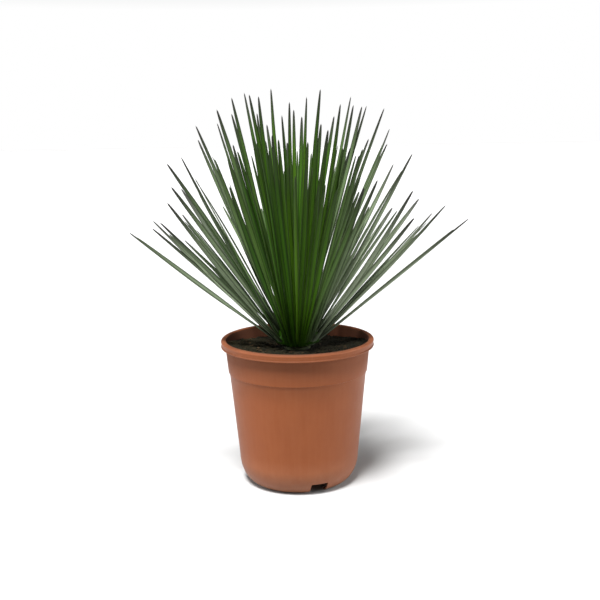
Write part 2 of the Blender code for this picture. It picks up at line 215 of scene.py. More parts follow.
def turn_on_lathe(name, outline, facets):
    """Draws half a section point by point in the XZ plane and spins it round Z."""
    bpy.ops.object.select_all(action="DESELECT")
    bpy.ops.mesh.primitive_plane_add(size=0.001)
    piece = bpy.context.object
    piece.name = name
    piece.data.name = name
    bpy.ops.object.mode_set(mode="EDIT")
    bpy.ops.mesh.select_all(action="SELECT")
    bpy.ops.mesh.merge(type="CENTER")
    bpy.ops.transform.translate(value=(outline[0][0], 0.0, outline[0][1]))
    for here, there in zip(outline, outline[1:]):
        step = (there[0] - here[0], 0.0, there[1] - here[1])
        bpy.ops.mesh.extrude_vertices_move(TRANSFORM_OT_translate={"value": step})
    bpy.ops.mesh.select_all(action="SELECT")
    bpy.ops.mesh.spin(steps=facets, angle=2.0 * math.pi, center=(0.0, 0.0, 0.0),
                      axis=(0.0, 0.0, 1.0))
    bpy.ops.mesh.select_all(action="SELECT")
    bpy.ops.mesh.remove_doubles(threshold=0.00001)
    bpy.ops.mesh.normals_make_consistent(inside=False)
    bpy.ops.object.mode_set(mode="OBJECT")
    return piece


def cut_away(piece, cutter):
    """Cuts one shape out of another for good, and removes it."""
    cut = piece.modifiers.new("Cut", "BOOLEAN")
    cut.operation = "DIFFERENCE"
    cut.solver = "EXACT"
    cut.object = cutter
    bpy.ops.object.select_all(action="DESELECT")
    piece.select_set(True)
    bpy.context.view_layer.objects.active = piece
    bpy.ops.object.modifier_apply(modifier=cut.name)
    bpy.data.objects.remove(cutter, do_unlink=True)


# The section starts on the axis on top of the floor, climbs the inner face, goes over the rim and
# down the skirt, the outer wall and the foot, and comes back to the axis under the floor
floor_top = floor_height + pot_wall
mouth = wall_radius(pot_height) - pot_wall
skirt = rim_radius - skirt_taper
skirt_end = pot_height - rim_depth
groove = pot_height - rim_thick
inner_side = ledge_points(pot_wall) + part_above(foot_curve(pot_wall), floor_top)
pot_section = [(radius, floor_top) for radius in (0.0,) + floor_rows] + inner_side[::-1]
pot_section += [(wall_radius(pot_height - inner_row) - pot_wall, pot_height - inner_row)]
pot_section += arc_points((mouth + mouth_bend, pot_height - mouth_bend),
                          (mouth_bend, mouth_bend), 180, 96, 7)
pot_section += arc_points((rim_radius - rim_roll, pot_height - rim_roll),
                          (rim_roll, rim_roll), 87, 0, 9)
pot_section += [(rim_radius - 0.0002, pot_height - rim_roll - 0.0008),
                (skirt - 0.0003, skirt_end + 0.0028), (skirt - 0.0004, skirt_end + 0.0021)]
pot_section += arc_points((skirt - 0.0004, skirt_end + skirt_bead[1]), skirt_bead, 80, -90, 8)
pot_section += [(skirt - skirt_lip, skirt_end + 0.3 * skirt_lip),
                (rim_radius - 1.3 * skirt_lip, groove)]
pot_section += arc_points((wall_radius(groove) + groove_out, groove), groove_bend, 60, 180, 5)
pot_section += [(wall_radius(z), z) for z in upper_rows] + ledge_points(0.0)
pot_section += [(wall_radius(z), z) for z in lower_rows]
pot_section += foot_curve(0.0)
pot_section += [(foot_radius - foot_ring, 0.0), (foot_radius - foot_ring, pot_wall)]
under_side = foot_curve(pot_wall)
pot_section += [point for point in under_side[::-1] if pot_wall < point[1] < floor_height]
pot_section += [(part_above(under_side, floor_height)[-1][0], floor_height),
                (floor_rows[-1], floor_height), (0.0, floor_height)]
pot = turn_on_lathe("nursery_pot", pot_section, pot_facets)
for i in range(notch_count):
    bpy.ops.object.select_all(action="DESELECT")
    bpy.ops.mesh.primitive_cube_add(size=1.0, scale=notch_size,
                                    location=(foot_radius + 0.25 * notch_size[0], 0.0, 0.0))
    bpy.ops.object.transform_apply(location=True, scale=True)
    cutter = bpy.context.object
    cutter.rotation_euler.z = math.radians(notch_azimuth + 360.0 * i / notch_count)
    cut_away(pot, cutter)
for i in range(drain_count):
    angle = 2.0 * math.pi * (i + 0.5) / drain_count
    place = (drain_circle * math.cos(angle), drain_circle * math.sin(angle), floor_height)
    bpy.ops.object.select_all(action="DESELECT")
    bpy.ops.mesh.primitive_cylinder_add(vertices=28, radius=drain_radius, depth=6.0 * pot_wall,
                                        location=place)
    cut_away(pot, bpy.context.object)
bpy.ops.object.select_all(action="DESELECT")
pot.select_set(True)
bpy.context.view_layer.objects.active = pot
bpy.ops.object.shade_smooth_by_angle(angle=math.radians(38.0))

# Where the pot is darkened: the wall's inner face, whose points face the axis, stained by the
# potting mix and in painted shade under the leaves; less, as painted shade where the light from
# above falls, the rim's top, most at the front and the back; the bead's top, as painted shade over
# its highlight; and the wall close under the rim, as a painted shadow of the rim
# How dark the painted shade on the bead and the painted shadow under the rim are, and how low that
# shadow reaches
bead_painted_shade = 0.65
rim_painted_shadow = 0.42
rim_shadow_from = 0.150
stain_and_shade = pot.data.attributes.new("stain_and_shade", "FLOAT", "POINT")
for vertex in pot.data.vertices:
    height = vertex.co.z
    out = Vector((vertex.co.x, vertex.co.y, 0.0))
    inside = vertex.normal.dot(out) < -0.5 * out.length and out.length < wall_radius(height)
    # The inner wall: stained by the potting mix, and in painted shade under the leaves
    if inside and floor_top < height < pot_height - 0.001:
        stain_and_shade.data[vertex.index].value = 1.0
    # Painted shade on the rim's top, where the light from above falls, less towards the sides
    elif height > pot_height - rim_roll and vertex.normal.z > 0.2:
        sideways = abs(vertex.co.x) / rim_radius
        stain_and_shade.data[vertex.index].value = vertex.normal.z * (1.0 - 0.5 * sideways)
    # Painted shade over the highlight on the bead's top
    elif skirt_end < height < skirt_end + 0.003 and vertex.normal.z > 0.1:
        stain_and_shade.data[vertex.index].value = bead_painted_shade
    # Painted shadow of the rim on the wall under it
    elif rim_shadow_from < height < groove and out.length < wall_radius(height) + 0.0005:
        stain_and_shade.data[vertex.index].value = rim_painted_shadow

# Moulded polypropylene: an even satin skin, a little mottled and dusty at the foot, with faint
# upright flow lines from the mould. Its grain is drawn coarser than the real one, so that it shows.
mottle_scale = 38.0                      # patches 26 mm across
flow_scale = (260.0, 260.0, 6.0)         # lines 4 mm apart and 17 cm long
dust_scale = 70.0                        # patches 14 mm across
dust_height = 0.045                      # how far up the wall it thins out
grain_scale = 1400.0                     # grains 0.7 mm across
plastic, tree, shader = new_material("moulded terracotta polypropylene", {
    "Metallic": 0.0, "IOR": 1.49, "Specular IOR Level": 0.25})
where = add_node(tree, "TexCoord").outputs["Object"]
split = add_node(tree, "SeparateXYZ", {"Vector": where})
mottle = add_node(tree, "TexNoise", {
    "Vector": where, "Scale": mottle_scale, "Detail": 5.0, "Roughness": 0.6})
body = add_node(tree, "Mix", {
    "Factor": mottle.outputs["Fac"], "A": linear("#6d3718"), "B": linear("#78401e")},
    data_type="RGBA")
upright = add_node(tree, "Mapping", {"Vector": where, "Scale": flow_scale})
flow = add_node(tree, "TexNoise", {
    "Vector": upright.outputs["Vector"], "Scale": 1.0, "Detail": 3.0})
flow_share = add_node(tree, "MapRange", {
    "Value": flow.outputs["Fac"], "From Min": 0.35, "From Max": 0.75,
    "To Min": 0.0, "To Max": 0.08})
streaked = add_node(tree, "Mix", {
    "Factor": flow_share.outputs["Result"], "A": body.outputs["Result"], "B": linear("#8b5a3e")},
    data_type="RGBA")
low = add_node(tree, "MapRange", {
    "Value": split.outputs["Z"], "From Min": 0.0, "From Max": dust_height,
    "To Min": 0.6, "To Max": 0.0})
dust_patch = add_node(tree, "TexNoise", {
    "Vector": where, "Scale": dust_scale, "Detail": 6.0, "Roughness": 0.7})
dust = add_node(tree, "Math", {0: low.outputs["Result"], 1: dust_patch.outputs["Fac"]},
                operation="MULTIPLY")
dusty = add_node(tree, "Mix", {
    "Factor": dust.outputs["Value"], "A": streaked.outputs["Result"], "B": linear("#8c6c58")},
    data_type="RGBA")
# Darker towards a dark brown where the potting mix has stained and where shade is painted
stain_and_shade_read = add_node(tree, "Attribute", attribute_name="stain_and_shade")
stain_and_shade_share = add_node(tree, "Math", {0: stain_and_shade_read.outputs["Fac"], 1: 0.72}, operation="MULTIPLY")
finished = add_node(tree, "Mix", {
    "Factor": stain_and_shade_share.outputs["Value"], "A": dusty.outputs["Result"], "B": linear("#38231a")},
    data_type="RGBA")
tree.links.new(finished.outputs["Result"], shader.inputs["Base Color"])
sheen_patch = add_node(tree, "MapRange", {
    "Value": dust_patch.outputs["Fac"], "To Min": 0.40, "To Max": 0.56})
dull = add_node(tree, "Math", {0: stain_and_shade_read.outputs["Fac"], 1: 0.55}, operation="MULTIPLY")
roughened = add_node(tree, "Math", {0: sheen_patch.outputs["Result"], 1: dull.outputs["Value"]},
                     operation="ADD")
tree.links.new(roughened.outputs["Value"], shader.inputs["Roughness"])
grain = add_node(tree, "TexNoise", {"Vector": where, "Scale": grain_scale, "Detail": 2.0})
relief = add_node(tree, "Bump", {
    "Height": grain.outputs["Fac"], "Strength": 0.12, "Distance": 0.0004})
tree.links.new(relief.outputs["Normal"], shader.inputs["Normal"])
pot.data.materials.append(plastic)
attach(pot, "root")
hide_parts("pot")


# Potting mix: fills the pot, dished round the stem, near the rim at the front and the sides and low
# at the back. Peat and composted bark, pressed in by hand, so its top is lumpy.
gap = 0.0003                  # left between pieces that touch
soil_height = 0.1685          # of its top, round the stem
soil_brim = 0.1760            # of its top, at the front and sides of the pot's wall
soil_sink = 0.0130            # how much lower the brim lies at the back
soil_rings = 52
soil_facets = 160
rolling_lump = 0.0011         # how high the swells of its top are
fine_lump = 0.0016            # how high the finer lumps are
fine_lump_scale = 130.0       # lumps 8 mm across
stem_radius = 0.0165
stem_bottom = 0.114
hole_radius = stem_radius + gap
soil_edge = wall_radius(soil_height) - pot_wall - gap


def soil_top(x, y):
    """The height of the potting mix's top at a place.

    On its dish lie swells 33, 37 and 19 mm long and finer lumps. Both fade over the last 6 mm
    before the wall and over 20 mm round the stem.
    """
    out = math.hypot(x, y)
    share = min(max((out - hole_radius) / (soil_edge - hole_radius), 0.0), 1.0)
    rolling = math.sin(190.0 * x + 1.3) * math.cos(170.0 * y) + 0.6 * math.sin(330.0 * (x - y))
    lumps = noise.fractal(Vector((x, y, 0.0)) * fine_lump_scale, 0.8, 2.1, 5)
    fade = max(0.0, min(1.0, (soil_edge - out) / 0.006 + 0.3, (out - hole_radius) / 0.020 + 0.1))
    brim = soil_brim - soil_sink * max(0.0, y) / soil_edge
    dish = soil_height + (brim - soil_height) * share ** 1.5
    return dish + (rolling_lump * rolling + fine_lump * lumps) * fade


soil_section = [(0.0, stem_bottom - gap), (hole_radius, stem_bottom - gap)]
for i in range(soil_rings + 1):
    soil_section.append((hole_radius + (soil_edge - hole_radius) * i / soil_rings, soil_height))
soil_wall = ledge_points(pot_wall + gap) + part_above(foot_curve(pot_wall + gap), floor_top + gap)
soil_section += soil_wall + [(0.0, soil_wall[-1][1])]
soil = turn_on_lathe("potting_mix", soil_section, soil_facets)
for vertex in soil.data.vertices:
    out = math.hypot(vertex.co.x, vertex.co.y)
    if vertex.co.z > soil_height - 0.001 and out > hole_radius - 0.0001:
        vertex.co.z = soil_top(vertex.co.x, vertex.co.y)
        share = (out - hole_radius) / (soil_edge - hole_radius)
        wider = 1.0 + (wall_radius(vertex.co.z) - wall_radius(soil_height)) * share / soil_edge
        vertex.co.x *= wider
        vertex.co.y *= wider
bpy.ops.object.shade_smooth_by_angle(angle=math.radians(60.0))

# Peat and bark compost, moist: nearly black, matt, with browner fibrous crumbs. It is darker
# towards the right.
patch_scale = 90.0            # patches 11 mm across
grit_scale = 900.0            # grains 1.1 mm across
darkening_span = 0.075             # from the axis to where it is lightest, and as far to where it is darkest
compost, tree, shader = new_material("moist peat and bark compost", {
    "Roughness": 0.92, "Specular IOR Level": 0.12})
where = add_node(tree, "TexCoord").outputs["Object"]
patches = add_node(tree, "TexNoise", {
    "Vector": where, "Scale": patch_scale, "Detail": 6.0, "Roughness": 0.65})
shades = add_node(tree, "ValToRGB", {"Fac": patches.outputs["Fac"]})
shades.color_ramp.elements[0].position = 0.34
shades.color_ramp.elements[0].color = linear("#0c0b05")
shades.color_ramp.elements[1].position = 0.70
shades.color_ramp.elements[1].color = linear("#1e1b0d")
crumb_tone = add_node(tree, "Attribute", attribute_name="crumb_tone")
crumbed = add_node(tree, "Mix", {
    "Factor": crumb_tone.outputs["Fac"], "A": shades.outputs["Color"], "B": linear("#3c2f1f")},
    data_type="RGBA")
split = add_node(tree, "SeparateXYZ", {"Vector": where})
rightward_darkening = add_node(tree, "MapRange", {
    "Value": split.outputs["X"], "From Min": -darkening_span, "From Max": darkening_span,
    "To Min": 1.25, "To Max": 0.70})
darkened_rightward = add_node(tree, "VectorMath", {
    0: crumbed.outputs["Result"], "Scale": rightward_darkening.outputs["Result"]}, operation="SCALE")
tree.links.new(darkened_rightward.outputs["Vector"], shader.inputs["Base Color"])
grit = add_node(tree, "TexNoise", {
    "Vector": where, "Scale": grit_scale, "Detail": 4.0, "Roughness": 0.7})
relief = add_node(tree, "Bump", {
    "Height": grit.outputs["Fac"], "Strength": 0.6, "Distance": 0.0010})
tree.links.new(relief.outputs["Normal"], shader.inputs["Normal"])
soil.data.materials.append(compost)
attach(soil, "root")
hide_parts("soil")


# Loose crumbs: bits of peat and flat chips of bark that lie on the potting mix, partly sunk in it.
# They are of the same moist compost, the chips browner than the crumbs.
crumb_count = 620
chip_count = 90
crumb_halves = ((0.5, 1.5), (0.5, 1.3), (0.4, 0.9))      # least and most half sizes, in millimetres
chip_halves = ((1.6, 3.6), (0.8, 1.6), (0.3, 0.6))
crumb_tones = (0.0, 0.35)     # how brown they are, as shares
chip_tones = (0.3, 1.0)
crumb_clear = (0.006, 0.003)  # from the hole in the potting mix and from its edge
lie_turn = (0.0, 6.283)       # radians
lie_tilt = (-0.5, 0.5)
crumb_seed = 5


def copy_of(model):
    """Another piece like a modelled one, with a mesh of its own."""
    copied = model.copy()
    copied.data = model.data.copy()
    bpy.context.scene.collection.objects.link(copied)
    return copied


def mark_all(piece, name, value):
    """Gives all of a piece's points one value under a name, for its material to read."""
    marks = piece.data.attributes.new(name, "FLOAT", "POINT")
    marks.data.foreach_set("value", [value] * len(piece.data.vertices))


def join_pieces(name, pieces):
    """Joins meshes into the first of them and gives it its name."""
    bpy.ops.object.select_all(action="DESELECT")
    for piece in pieces:
        piece.select_set(True)
    bpy.context.view_layer.objects.active = pieces[0]
    bpy.ops.object.join()
    pieces[0].name = name
    pieces[0].data.name = name
    return pieces[0]


bpy.ops.object.select_all(action="DESELECT")
bpy.ops.mesh.primitive_ico_sphere_add(subdivisions=1, radius=1.0)
crumb = bpy.context.object
bpy.ops.mesh.primitive_cube_add(size=2.0)
chip = bpy.context.object
bevel = chip.modifiers.new("Bevel", "BEVEL")
bevel.width = 0.35
bevel.segments = 1
bpy.ops.object.modifier_apply(modifier=bevel.name)
draw = random.Random(crumb_seed)
scattered = []
for i in range(crumb_count + chip_count):
    model, halves, tones = ((crumb, crumb_halves, crumb_tones) if i < crumb_count
                            else (chip, chip_halves, chip_tones))
    radius = math.sqrt(draw.uniform((hole_radius + crumb_clear[0]) ** 2,
                                    (soil_edge - crumb_clear[1]) ** 2))
    around = draw.uniform(0.0, 2.0 * math.pi)
    x, y = radius * math.cos(around), radius * math.sin(around)
    size = Vector([draw.uniform(least, most) for least, most in halves]) * 0.001
    lie = (Matrix.Rotation(draw.uniform(*lie_turn), 3, "Z")
           @ Matrix.Rotation(draw.uniform(*lie_tilt), 3, "X"))
    bit = copy_of(model)
    middle = Vector((x, y, soil_top(x, y) + 0.2 * size.z))
    for vertex in bit.data.vertices:
        rough = 1.0 + 0.35 * noise.noise(vertex.co * 1.7 + Vector((i, 0.0, 0.0)))
        sized = Vector((vertex.co.x * size.x, vertex.co.y * size.y, vertex.co.z * size.z))
        vertex.co = middle + lie @ sized * rough
    mark_all(bit, "crumb_tone", draw.uniform(*tones))
    scattered.append(bit)
bpy.data.objects.remove(crumb, do_unlink=True)
bpy.data.objects.remove(chip, do_unlink=True)
crumbs = join_pieces("loose_crumbs", scattered)
crumbs.data.materials.clear()
crumbs.data.materials.append(compost)
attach(crumbs, "root")


# Stem: a short woody trunk whose top few millimetres show, wrapped in the stubs of shed leaves.
# The stubs are clasping leaf bases, papery and frayed, that dried on the trunk as it grew.
stem_top = 0.1725
stem_shoulder = 0.004
stem_narrows = 0.139          # below this height it narrows to its lower end
stem_facets = 40
stub_count = 26
stub_seed = 41
stub_rise = (0.24, 0.58)      # how steeply a stub stands, as height for each step outwards
stub_long = (0.012, 0.0200)
stub_wide = (0.006, 0.009)
stub_deep = 0.007
stub_root = (0.0010, 0.0026)  # above the potting mix
golden_turn = 2.399963        # radians, the turn from one leaf to the next round a stem
stem_section = [(0.0, stem_top), (stem_radius - stem_shoulder, stem_top),
                (stem_radius - 0.001, stem_top - 0.002), (stem_radius, stem_top - stem_shoulder),
                (stem_radius, soil_height), (stem_radius, stem_narrows),
                (stem_radius - stem_shoulder, stem_bottom), (0.0, stem_bottom)]
stem = turn_on_lathe("stem", stem_section, stem_facets)
bpy.ops.object.shade_smooth_by_angle(angle=math.radians(50.0))

# One stub, a unit long and a unit wide: narrower towards its frayed end, and cupped round the stem
bpy.ops.object.select_all(action="DESELECT")
bpy.ops.mesh.primitive_grid_add(x_subdivisions=6, y_subdivisions=6, size=1.0)
stub_model = bpy.context.object
for vertex in stub_model.data.vertices:
    along = vertex.co.y + 0.5
    vertex.co.x *= 1.0 - 0.35 * along ** 2
    vertex.co.z = -1.1 * vertex.co.x ** 2 + 0.04 * math.sin(23.0 * vertex.co.x) * along
    vertex.co.y = along - 0.16 * abs(math.sin(9.0 * vertex.co.x)) * along
thicken = stub_model.modifiers.new("Thickness", "SOLIDIFY")
thicken.thickness = 0.09
thicken.offset = 0.0
bpy.ops.object.modifier_apply(modifier=thicken.name)
draw = random.Random(stub_seed)
stubs = [stem]
for i in range(stub_count):
    around = golden_turn * i + draw.uniform(-0.2, 0.2)
    out = Vector((math.cos(around), math.sin(around), 0.0))
    across = Vector((-out.y, out.x, 0.0))
    way = (out + Vector((0.0, 0.0, draw.uniform(*stub_rise)))).normalized()
    face = way.cross(across).normalized()
    height = soil_height + draw.uniform(*stub_root)
    root = out * (stem_radius - 0.005) + Vector((0.0, 0.0, height))
    long_side = draw.uniform(*stub_long)
    wide_side = draw.uniform(*stub_wide)
    stub = copy_of(stub_model)
    for vertex in stub.data.vertices:
        x, y, z = vertex.co
        vertex.co = root + way * y * long_side + across * x * wide_side - face * z * stub_deep
    stubs.append(stub)
bpy.data.objects.remove(stub_model, do_unlink=True)
stem = join_pieces("stem_with_old_leaf_bases", stubs)

# Drying fibrous leaf base: grey olive, painted darker as shade under the leaf head, matt, with
# fibres running along it. They are drawn coarser than the real ones, so that they show.
blotch_scale = 170.0          # blotches 6 mm across
fibre_scale = 420.0           # fibres 0.9 mm apart
husk_in_painted_shade, tree, shader = new_material("dry yucca leaf base", {
    "Roughness": 0.8, "Specular IOR Level": 0.3})
where = add_node(tree, "TexCoord").outputs["Object"]
blotch = add_node(tree, "TexNoise", {"Vector": where, "Scale": blotch_scale, "Detail": 5.0})
shades = add_node(tree, "ValToRGB", {"Fac": blotch.outputs["Fac"]})
# Both ends of the ramp are darker than the dry bases' own grey olive: painted shade
shades.color_ramp.elements[0].position = 0.35
shades.color_ramp.elements[0].color = linear("#151a0c")
shades.color_ramp.elements[1].position = 0.68
shades.color_ramp.elements[1].color = linear("#3e4927")
fibre_lines = add_node(tree, "TexWave", {
    "Vector": where, "Scale": fibre_scale, "Distortion": 6.0, "Detail": 3.0},
    bands_direction="DIAGONAL")
fibred = add_node(tree, "Mix", {
    "Factor": 0.35, "A": shades.outputs["Color"], "B": fibre_lines.outputs["Color"]},
    data_type="RGBA", blend_type="MULTIPLY")
tree.links.new(fibred.outputs["Result"], shader.inputs["Base Color"])
relief = add_node(tree, "Bump", {
    "Height": fibre_lines.outputs["Fac"], "Strength": 0.4, "Distance": 0.0003})
tree.links.new(relief.outputs["Normal"], shader.inputs["Normal"])
stem.data.materials.clear()
stem.data.materials.append(husk_in_painted_shade)
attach(stem, "root")
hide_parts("stem")


# Leaf head: a rosette of 175 stiff, flat, sharp-pointed leaves that grow out of one bud, all at one
# length for their lean. Each is a tough blade, channelled above and keeled beneath, with thin horny
# margins.
leaf_seed = 41
bud_radius = 0.0285
bud_middle = 0.179
bud_rise = 0.030                       # from the bud's middle to its top
bud_round = 92.0                       # how far round from its top leaves grow, in degrees
bud_facets = 48
crown = Vector((0.0, 0.0, 0.178))      # where the leaves seem to come from
eye = Vector((0.0046, -1.1, 0.4293))   # where they are looked at from
leaf_long = 0.311                      # an upright leaf, from the crown to its point
leaf_shorter = 0.062                   # how much shorter the lowest leaves are
leaf_width = 0.0064
keel_depth = 0.0016
root_sunk = 0.008                      # how deep a leaf starts inside the bud
root_clear = 0.50                      # how far above the stem's top, at least, in leaf widths
lowest_lean = 56.0                     # degrees, as are all leans
front_lowest_lean = 33.0               # the lowest of the leaves straight in front
forward_reach = 0.178                  # how far before the crown a leaf's point may lie
backward_reach = 0.155                 # and how far behind it
least_reach = 0.036                    # and the least of either
middling = 2                           # how many hidden leaves in five stand nearer the middle
spear_count = 7                        # short upright leaves in the middle
spear_long = (0.55, 0.75)              # as shares of a full length
paired_lean = 20.0                     # a seen leaf that leans more has another beside it
paired_depth = (0.010, 0.060)          # before or behind the pot's axis
paired_long = (0.86, 0.97)             # as shares of the reach of the leaf beside it

# Leaf points that stand out against the light: lean to the side, then reach in millimetres
seen_leaves = [
    (-56, 245), (-51, 225), (-49, 230), (-48, 222), (-47, 186), (-42, 232), (-41, 210), (-38, 243),
    (-36, 234), (-35, 268), (-33, 181), (-31, 265), (-25, 273), (-24, 289), (-19, 282), (-18, 297),
    (-18, 264), (-17, 252), (-15, 287), (-14, 305), (-11, 307), (-10, 304), (-9, 281), (-8, 300),
    (-7, 266), (-6, 253), (-5, 307), (-3, 275), (-2, 243), (-1, 290), (0, 281), (2, 273),
    (3, 296), (4, 242), (6, 306), (7, 266), (9, 260), (10, 277), (11, 292), (13, 303),
    (14, 294), (16, 295), (16, 246), (17, 297), (19, 239), (20, 261), (21, 301), (24, 281),
    (24, 205), (25, 264), (27, 220), (29, 246), (32, 268), (36, 201), (38, 232), (41, 229),
    (44, 208), (47, 228), (48, 246), (49, 217), (55, 258),
]
seen_change = (0.84, 1.015)            # the share of a full length that they have

# The leaves behind and in front of those: how far to each side they lean, how far they stray from
# even spacing, the reach that each degree of lean takes off, the reach and depth of the ones nearer
# the middle, and the reach of the others with the share of a full length that they have
hidden_leaves = [
    dict(count=44, lean=33.0, stray=2.0, slope=0.9, near=(200.0, 272.0), depth=(0.045, 0.125),
         far=(150.0, 248.0), change=(0.84, 1.0), behind=True),
    dict(count=34, lean=25.0, stray=1.5, slope=0.6, near=(205.0, 258.0), depth=(-0.125, -0.045),
         far=(196.0, 262.0), change=(0.92, 1.0), behind=False),
]


def lean_of(point):
    """How far a point lies from upright above the crown, in degrees."""
    return math.degrees((point - crown).angle(Vector((0.0, 0.0, 1.0))))


def length_at(point):
    """A leaf's length for the way it leans: the lower, the shorter."""
    return leaf_long - leaf_shorter * (lean_of(point) / lowest_lean) ** 1.3


def shown_at(lean, reach):
    """The place level with the pot's axis that shows at this lean and reach."""
    lean = math.radians(lean)
    return crown + 0.001 * reach * Vector((math.sin(lean), 0.0, math.cos(lean)))


def on_sight_line(lean, reach, change, behind):
    """The point of the leaf that shows at this lean and reach, before or behind the pot's axis."""
    deepest = change * (backward_reach if behind else forward_reach)
    shallowest = change * least_reach
    point = shown_at(lean, reach)
    line = (point - eye).normalized()
    along = (crown - eye).dot(line)
    off = (crown - eye).length_squared - along ** 2
    for _ in range(4):
        length = length_at(point) * change
        half = min(max(math.sqrt(max(length ** 2 - off, 0.0)), shallowest), deepest)
        point = eye + line * (along + half if behind else along - half)
    return point


def at_depth(lean, reach, depth):
    """The point that shows at this lean and reach, this far behind the pot's axis."""
    shown = shown_at(lean, reach)
    return eye + (shown - eye) * (depth - eye.y) / (shown.y - eye.y)


def root_in_bud(tip):
    """Where a leaf with this point starts in the bud: the lower the leaf, the lower on the bud."""
    way = tip - crown
    around = math.atan2(way.y, way.x)
    forward = max(0.0, -math.sin(around)) ** 1.5
    lowest = lowest_lean + (front_lowest_lean - lowest_lean) * forward
    down = math.radians(min(bud_round, bud_round * lean_of(tip) / lowest))
    radius = bud_radius * math.sin(down)
    place = Vector((radius * math.cos(around), radius * math.sin(around),
                    bud_middle + bud_rise * math.cos(down)))
    root = place - (tip - place).normalized() * root_sunk
    root.z = max(root.z, stem_top + root_clear * leaf_width)
    return root


draw = random.Random(leaf_seed)
leaf_points = []
for i, (lean, reach) in enumerate(seen_leaves):
    leaf_points.append(on_sight_line(lean, reach, draw.uniform(*seen_change), i % 2 == (lean > 0)))
for group in hidden_leaves:
    for i in range(group["count"]):
        lean = -group["lean"] + 2.0 * group["lean"] * (i + 0.5) / group["count"]
        lean += draw.uniform(-group["stray"], group["stray"])
        if i % 5 < middling:
            reach = draw.uniform(*group["near"]) - group["slope"] * abs(lean)
            leaf_points.append(at_depth(lean, reach, draw.uniform(*group["depth"])))
        else:
            reach = draw.uniform(*group["far"]) - group["slope"] * abs(lean)
            leaf_points.append(on_sight_line(lean, reach, draw.uniform(*group["change"]),
                                             group["behind"]))
for i in range(spear_count):
    around = golden_turn * i
    lean = 0.05 + 0.012 * i   # radians
    way = Vector((math.sin(lean) * math.cos(around), math.sin(lean) * math.sin(around),
                  math.cos(lean)))
    leaf_points.append(crown + way * leaf_long * draw.uniform(*spear_long))
for i, (lean, reach) in enumerate(seen_leaves):
    if abs(lean) > paired_lean:
        depth = draw.uniform(*paired_depth) * (-1.0 if i % 2 == (lean > 0) else 1.0)
        leaf_points.append(at_depth(lean, reach * draw.uniform(*paired_long), depth))

# One straight leaf, a unit long and a unit wide, drawn out ring by ring from its eight-sided
# section. Each row gives a ring's height, its share of the width and of the keel's depth.
leaf_ring = [(-0.5, 0.16), (-0.24, 0.0), (0.0, -0.10), (0.24, 0.0), (0.5, 0.16),
             (0.28, -0.48), (0.0, -1.0), (-0.28, -0.48)]
leaf_rows = [
    (0.0, 1.40, 1.0), (0.03, 1.25, 1.0), (0.07, 0.94, 1.0), (0.115, 0.70, 1.0), (0.17, 0.60, 1.0),
    (0.24, 0.58, 1.0), (0.31, 0.66, 1.0), (0.39, 0.84, 0.96), (0.47, 0.97, 0.92), (0.55, 1.0, 0.87),
    (0.63, 0.97, 0.80), (0.71, 0.91, 0.73), (0.79, 0.81, 0.66), (0.865, 0.69, 0.58),
    (0.925, 0.56, 0.52), (0.965, 0.43, 0.44), (0.99, 0.28, 0.30),
]
bpy.ops.object.select_all(action="DESELECT")
bpy.ops.mesh.primitive_circle_add(vertices=len(leaf_ring), radius=0.5, fill_type="NGON")
leaf_model = bpy.context.object
for vertex, (x, y) in zip(leaf_model.data.vertices, leaf_ring):
    vertex.co = (x * leaf_rows[0][1], y * leaf_rows[0][2], 0.0)
bpy.ops.object.mode_set(mode="EDIT")
bpy.ops.mesh.select_all(action="SELECT")
for here, there in zip(leaf_rows, leaf_rows[1:]):
    rise = (0.0, 0.0, there[0] - here[0])
    bpy.ops.mesh.extrude_region_move(TRANSFORM_OT_translate={"value": rise})
    bpy.ops.transform.resize(value=(there[1] / here[1], there[2] / here[2], 1.0),
                             center_override=(0.0, 0.0, there[0]))
rise = (0.0, 0.0, 1.0 - leaf_rows[-1][0])
bpy.ops.mesh.extrude_region_move(TRANSFORM_OT_translate={"value": rise})
bpy.ops.mesh.merge(type="CENTER")
bpy.ops.mesh.select_all(action="SELECT")
# Faces point inwards here, because laying the leaf out mirrors it
bpy.ops.mesh.normals_make_consistent(inside=True)
bpy.ops.object.mode_set(mode="OBJECT")

# Flat coordinates on the leaf for its fine lines: across it from margin to margin, and along it
flat = leaf_model.data.uv_layers.new(name="leaf")
widths = [row[1] for row in leaf_rows] + [0.25]
heights = [row[0] for row in leaf_rows] + [1.0]
for loop in leaf_model.data.loops:
    place = leaf_model.data.vertices[loop.vertex_index].co
    row = min(range(len(heights)), key=lambda k: abs(heights[k] - place.z))
    flat.data[loop.index].uv = (0.5 + place.x / widths[row], place.z)


def lay_leaf(leaf, root, tip, bow, roll, width, sway, curl):
    """Carries the straight leaf to its place between root and tip, twisted, bowed and swayed.

    Most of the roll comes in the lowest third of the leaf, and the curl twists it all along.
    """
    chord = tip - root
    along = chord.normalized()
    level = along.cross(Vector((0.0, 0.0, 1.0))).normalized()
    upper = level.cross(along)
    for vertex in leaf.data.vertices:
        x, y, t = vertex.co
        rolled = roll * (0.4 + 0.6 * min(1.0, t / 0.33) ** 0.8) + curl * (t - 0.5)
        turn = Matrix.Rotation(rolled, 3, along)
        middle = (root + chord * t + upper * bow * math.sin(math.pi * t)
                  + level * sway * math.sin(2.0 * math.pi * t))
        vertex.co = middle + turn @ level * (x * width) + turn @ upper * (y * keel_depth)


